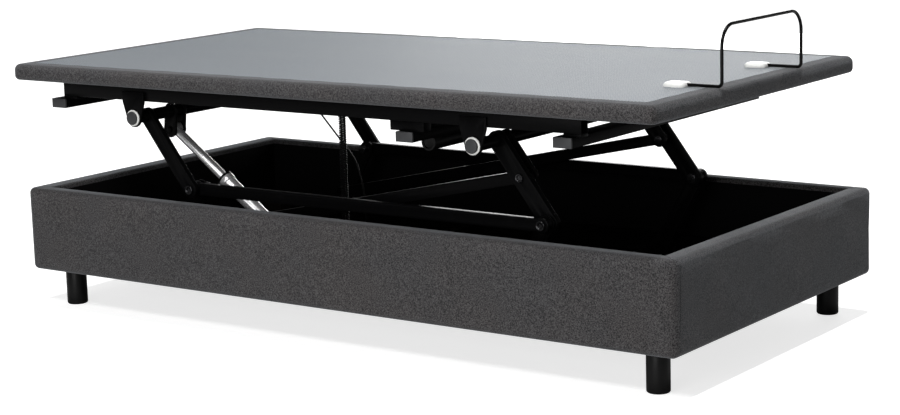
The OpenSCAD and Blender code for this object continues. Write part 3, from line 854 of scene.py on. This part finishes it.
class BED_OT_woven_top(bpy.types.Operator):
    """The woven panel set into the cover"""
    bl_idname = "bed.woven_top"
    bl_label = "Woven top"

    def execute(self, context):
        looks = context.scene.bed_upholstery
        low, high = cover_box()
        inset = looks.border + 1.4 * MM
        panel = add_box("woven", (low.x + inset, low.y + inset, high.z - 1.3 * MM),
                        (high.x - inset, high.y - inset, high.z + 0.2 * MM))
        round_edges(panel, 0.7 * MM, 2)
        for x in cut_stations(low, high):
            cut(panel, (x, 0, 0), (1, 0, 0))
        for y in (low.y + inset + 4 * MM, high.y - inset - 4 * MM):
            cut(panel, (0, y, 0), (0, 1, 0))
        split_cover(panel, "woven_top", FINISHES["woven"], False)
        return {"FINISHED"}


# ---------------------------------------------------------------- steelwork and hard pieces

def worked_node(node, name, width, segments=2):
    """A copy of a CAD node with merged faces and rounded edges."""
    piece = copy_piece(frame["nodes"][node], name)
    pick_all(piece)
    bpy.ops.mesh.remove_doubles(threshold=0.005 * MM)
    bpy.ops.mesh.dissolve_limited(angle_limit=math.radians(0.6))
    bpy.ops.object.mode_set(mode="OBJECT")
    if width:
        round_edges(piece, width, segments)
    smooth(piece)
    return piece


# node: (finish, slot, rounding in mm)
HARD_NODES = {
    "base_rails": ("steel", "black_steel", 1.5),
    "base_cross_tubes": ("steel", "black_steel", 1.2),
    "lower_foot_arms": ("steel", "black_steel", 1.0),
    "lower_foot_torsion_tube": ("steel", "black_steel", 0.6),
    "lower_head_arms": ("steel", "black_steel", 1.0),
    "lower_head_torsion_tube": ("steel", "black_steel", 0.6),
    "mid_rails": ("steel", "black_steel", 4.0),
    "upper_foot_arms": ("steel", "black_steel", 1.4),
    "upper_foot_torsion_tube": ("steel", "black_steel", 0.6),
    "upper_head_arms": ("steel", "black_steel", 1.4),
    "upper_head_torsion_tube": ("steel", "black_steel", 0.6),
    "lift_levers": ("steel", "black_steel", 0.8),
    "sync_links": ("steel", "black_steel", 3.5),
    "upper_rails": ("steel", "black_steel", 1.8),
    "upper_cross_tubes": ("steel", "black_steel", 1.5),
    "spacer_blocks": ("steel", "black_steel", 0.8),
    "torsion_brackets": ("steel", "black_steel", 0.9),
    "actuator_brackets": ("steel", "black_steel", 0.7),
    "back_horn": ("steel", "black_steel", 0.6),
    "thigh_horn": ("steel", "black_steel", 0.6),
    "dust_cover": ("lining", "black_cloth", 0.0),
    "corner_blocks": ("board", "plywood", 1.5),
    "base_bushings": ("plastic", "black_plastic", 0.4),
    "torsion_flanges": ("nylon", "white_nylon", 0.6),
    "cross_tube_caps": ("grey", "grey_plastic", 1.2),
    "foot_tube_caps": ("grey", "grey_plastic", 1.4),
    "head_tube_caps": ("grey", "grey_plastic", 1.4),
    "base_fasteners": ("zinc", "zinc_fasteners", 0.4),
    "seat_hinge_leaves": ("zinc", "zinc_fasteners", 0.3),
    "back_hinge_leaves": ("zinc", "zinc_fasteners", 0.3),
    "thigh_hinge_leaves": ("zinc", "zinc_fasteners", 0.3),
    "power_supply": ("plastic", "black_plastic", 2.0),
    "power_inlet": ("plastic", "black_plastic", 0.6),
    "control_box": ("plastic", "black_plastic", 2.0),
    "lift_actuator_motor": ("plastic", "black_plastic", 1.5),
    "back_actuator_tube": ("plastic", "black_plastic", 1.2),
    "thigh_actuator_tube": ("plastic", "black_plastic", 1.2),
    "lift_actuator_tube": ("silver", "silver_tube", 1.0),
    "lift_actuator_rod": ("silver", "silver_tube", 0.8),
    "back_actuator_rod": ("silver", "silver_tube", 0.8),
    "thigh_actuator_rod": ("silver", "silver_tube", 0.8),
    "retainer_bar": ("gloss", "black_steel", 0.0),
    "legs": ("plastic", "black_plastic", 1.5),
    "mid_pivot_bolts": ("fastener", "black_fasteners", 1.2),
    "sync_link_bolts": ("fastener", "black_fasteners", 0.7),
}


# node: width of the rim round the socket in a bolt's head, in mm
SOCKETS = {"mid_pivot_bolts": 5.0, "sync_link_bolts": 3.5}


class BED_OT_clips(bpy.types.Operator):
    """Rounded white clips that hold the retainer bar"""
    bl_idname = "bed.clips"
    bl_label = "Bar clips"
    half_width, corner, dome = 24 * MM, 15 * MM, 9 * MM

    def execute(self, context):
        low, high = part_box("bar_clips")
        made = []
        for side in (-1, 1):
            y = high.y - self.half_width if side > 0 else low.y + self.half_width
            middle = Vector(((low.x + high.x) / 2, y, (low.z + high.z) / 2))
            size = Vector((high.x - low.x, 2 * self.half_width, high.z - low.z))
            clip = add_box("clip", middle - size / 2, middle + size / 2)
            pick_edges(clip, lambda a, b: abs(a.z - b.z) > 5 * MM)
            bpy.ops.mesh.bevel(offset=self.corner, segments=6, affect="EDGES")
            bpy.ops.object.mode_set(mode="OBJECT")
            pick_edges(clip, lambda a, b: min(a.z, b.z) > high.z - MM)
            bpy.ops.mesh.bevel(offset=self.dome, segments=6, affect="EDGES")
            bpy.ops.object.mode_set(mode="OBJECT")
            clean(clip)
            made.append(clip)
        clips = join("bar_clips_made", made)
        smooth(clips, 50)
        finish_piece(clips, BODY_OF["bar_clips"], FINISHES["nylon"], ["bar_clips"])
        return {"FINISHED"}


class BED_OT_hard_pieces(bpy.types.Operator):
    """Steelwork, caps, bushings and housings, with rounded edges"""
    bl_idname = "bed.hard_pieces"
    bl_label = "Steelwork and housings"

    def execute(self, context):
        for node, (finish, slot, width) in HARD_NODES.items():
            piece = worked_node(node, node + "_made", width * MM, 2 if width < 3 else 4)
            if node in SOCKETS:
                self.sockets(piece, SOCKETS[node] * MM)
            finish_piece(piece, BODY_OF[node], FINISHES[finish], [node])
        self.collar()
        return {"FINISHED"}

    def collar(self):
        """The black wiper ring where the lift actuator's rod leaves its tube."""
        rod = joint("lift_rod_stroke")
        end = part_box("lift_actuator_tube")
        out = -Vector(rod["axis"]).normalized()
        middle_y = (end[0].y + end[1].y) / 2
        radius = (end[1].y - end[0].y) / 2
        tip = Vector((end[0].x + radius * abs(out.z), middle_y, end[1].z - radius * abs(out.x)))
        ring = add_rod("lift_wiper_ring", tip - out * 2 * MM, tip + out * 5 * MM,
                       radius + 0.6 * MM, 40)
        round_edges(ring, 1 * MM)
        smooth(ring)
        finish_piece(ring, BODY_OF["lift_actuator_tube"], FINISHES["gloss"])

    def sockets(self, piece, rim_width):
        """Sinks a round socket into the outer end of each bolt."""
        pick_faces(piece, lambda centre, normal: normal.y * math.copysign(1, centre.y) > 0.99)
        bpy.ops.mesh.inset(thickness=rim_width, depth=0, use_individual=True)
        bpy.ops.mesh.inset(thickness=0.2 * MM, depth=-3 * MM, use_individual=True)
        bpy.ops.object.mode_set(mode="OBJECT")
        smooth(piece)


# ---------------------------------------------------------------- leads

LEAD_RADIUS = 0.0027
LEAD_SHIFT = 0.013  # from the route's own origin to the frame's, along x
LEAD_ROUTE = [(-0.520, 0.055, 0.582), (-0.508, 0.055, 0.567), (-0.486, 0.055, 0.546),
              (-0.460, 0.055, 0.520), (-0.432, 0.055, 0.491), (-0.405, 0.055, 0.463),
              (-0.380, 0.055, 0.437), (-0.357, 0.055, 0.414), (-0.334, 0.055, 0.391),
              (-0.315, 0.055, 0.368), (-0.302, 0.055, 0.340), (-0.294, 0.055, 0.310),
              (-0.288, 0.055, 0.280), (-0.285, 0.055, 0.250), (-0.284, 0.055, 0.220),
              (-0.284, 0.055, 0.190), (-0.284, 0.055, 0.165)]


def tube_along(name, points, radius, sides=3):
    """A round tube along points, as a mesh."""
    data = bpy.data.curves.new(name, "CURVE")
    data.dimensions = "3D"
    data.bevel_depth = radius
    data.bevel_resolution = sides
    data.use_fill_caps = True
    spline = data.splines.new("POLY")
    spline.points.add(len(points) - 1)
    for spot, point in zip(spline.points, points):
        spot.co = (*point, 1)
    curve = bpy.data.objects.new(name, data)
    bpy.context.collection.objects.link(curve)
    only(curve)
    bpy.ops.object.convert(target="MESH")
    piece = bpy.context.object
    piece.name = piece.data.name = name
    clean(piece)
    return piece


def shorten(piece):
    """Gives a lead a mesh of its own; nothing here makes it lose height as the lift comes down."""
    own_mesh(piece)


class BED_OT_leads(bpy.types.Operator):
    """Two curly leads and one thin lead between the frame and the base"""
    bl_idname = "bed.leads"
    bl_label = "Leads"
    tail = 0.01  # straight length at each end of a curly lead
    bow_x, bow_y = 2.2 * MM, 2 * MM

    def execute(self, context):
        looks = context.scene.bed_leads
        low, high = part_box("curly_leads")
        outer = (high.y - low.y) / 2
        turn_r = outer + 1.2 * MM - looks.wire_radius
        middle_y = (low.y + high.y) / 2
        per_turn = looks.turn_points
        coils = []
        for i, x in enumerate((low.x + outer, high.x - outer)):
            turns = int((high.z - low.z - 2 * self.tail) / looks.coil_pitch)
            count = turns * per_turn
            points = [(x, middle_y, low.z + 0.001)]
            side = 1 if i else -1
            for k in range(count + 1):
                angle = 2 * math.pi * k / per_turn + i
                ease = min(1.0, k / per_turn, (count - k) / per_turn)
                bow = min(1.0, 3 * math.sin(math.pi * k / count)) * side
                points.append((x - self.bow_x * bow + turn_r * ease * math.cos(angle),
                               middle_y - self.bow_y * bow + turn_r * ease * math.sin(angle),
                               low.z + self.tail + looks.coil_pitch * k / per_turn))
            points.append((x, middle_y, high.z - 0.0005))
            coils.append(tube_along("coil", points, looks.wire_radius, 1))
        curly = join("curly_leads_coiled", coils)
        smooth(curly, 80)
        finish_piece(curly, "base", FINISHES["sheath"], ["curly_leads"])
        shorten(curly)
        self.thin_lead(looks.drop)
        return {"FINISHED"}

    def thin_lead(self, drop):
        points = [(x + LEAD_SHIFT, y, z) for x, y, z in LEAD_ROUTE]
        lead = tube_along("lift_lead_sheath", points, LEAD_RADIUS, 3)
        apply_modifier(lead, "SUBSURF", levels=1, render_levels=1)
        smooth(lead, 80)
        finish_piece(lead, "base", FINISHES["sheath"], ["lift_lead"])
        shorten(lead)


# ---------------------------------------------------------------- panel and registration

OPERATORS = [
    BED_OT_stage, BED_OT_box, BED_OT_lining, BED_OT_box_seams, BED_OT_cover, BED_OT_woven_top,
    BED_OT_hard_pieces, BED_OT_clips, BED_OT_leads,
]


class BED_PT_panel(bpy.types.Panel):
    """Lists the bed's pieces"""
    bl_idname = "BED_PT_panel"
    bl_label = "Adjustable bed"
    bl_space_type = "VIEW_3D"
    bl_region_type = "UI"
    bl_category = "Bed"

    def draw(self, context):
        for group in (context.scene.bed_upholstery, context.scene.bed_leads):
            for key in group.bl_rna.properties.keys():
                if key not in ("rna_type", "name"):
                    self.layout.prop(group, key)
        for operator in OPERATORS:
            self.layout.operator(operator.bl_idname)


CLASSES = [BedUpholstery, BedLeads, *OPERATORS, BED_PT_panel]


def register():
    for cls in CLASSES:
        bpy.utils.register_class(cls)
    bpy.types.Scene.bed_upholstery = PointerProperty(type=BedUpholstery)
    bpy.types.Scene.bed_leads = PointerProperty(type=BedLeads)


def unregister():
    del bpy.types.Scene.bed_leads
    del bpy.types.Scene.bed_upholstery
    for cls in reversed(CLASSES):
        bpy.utils.unregister_class(cls)


def main():
    register()
    FINISHES.update(make_finishes())
    for operator in OPERATORS:
        getattr(bpy.ops.bed, operator.bl_idname.split(".")[1])()


if __name__ == "__main__":
    main()
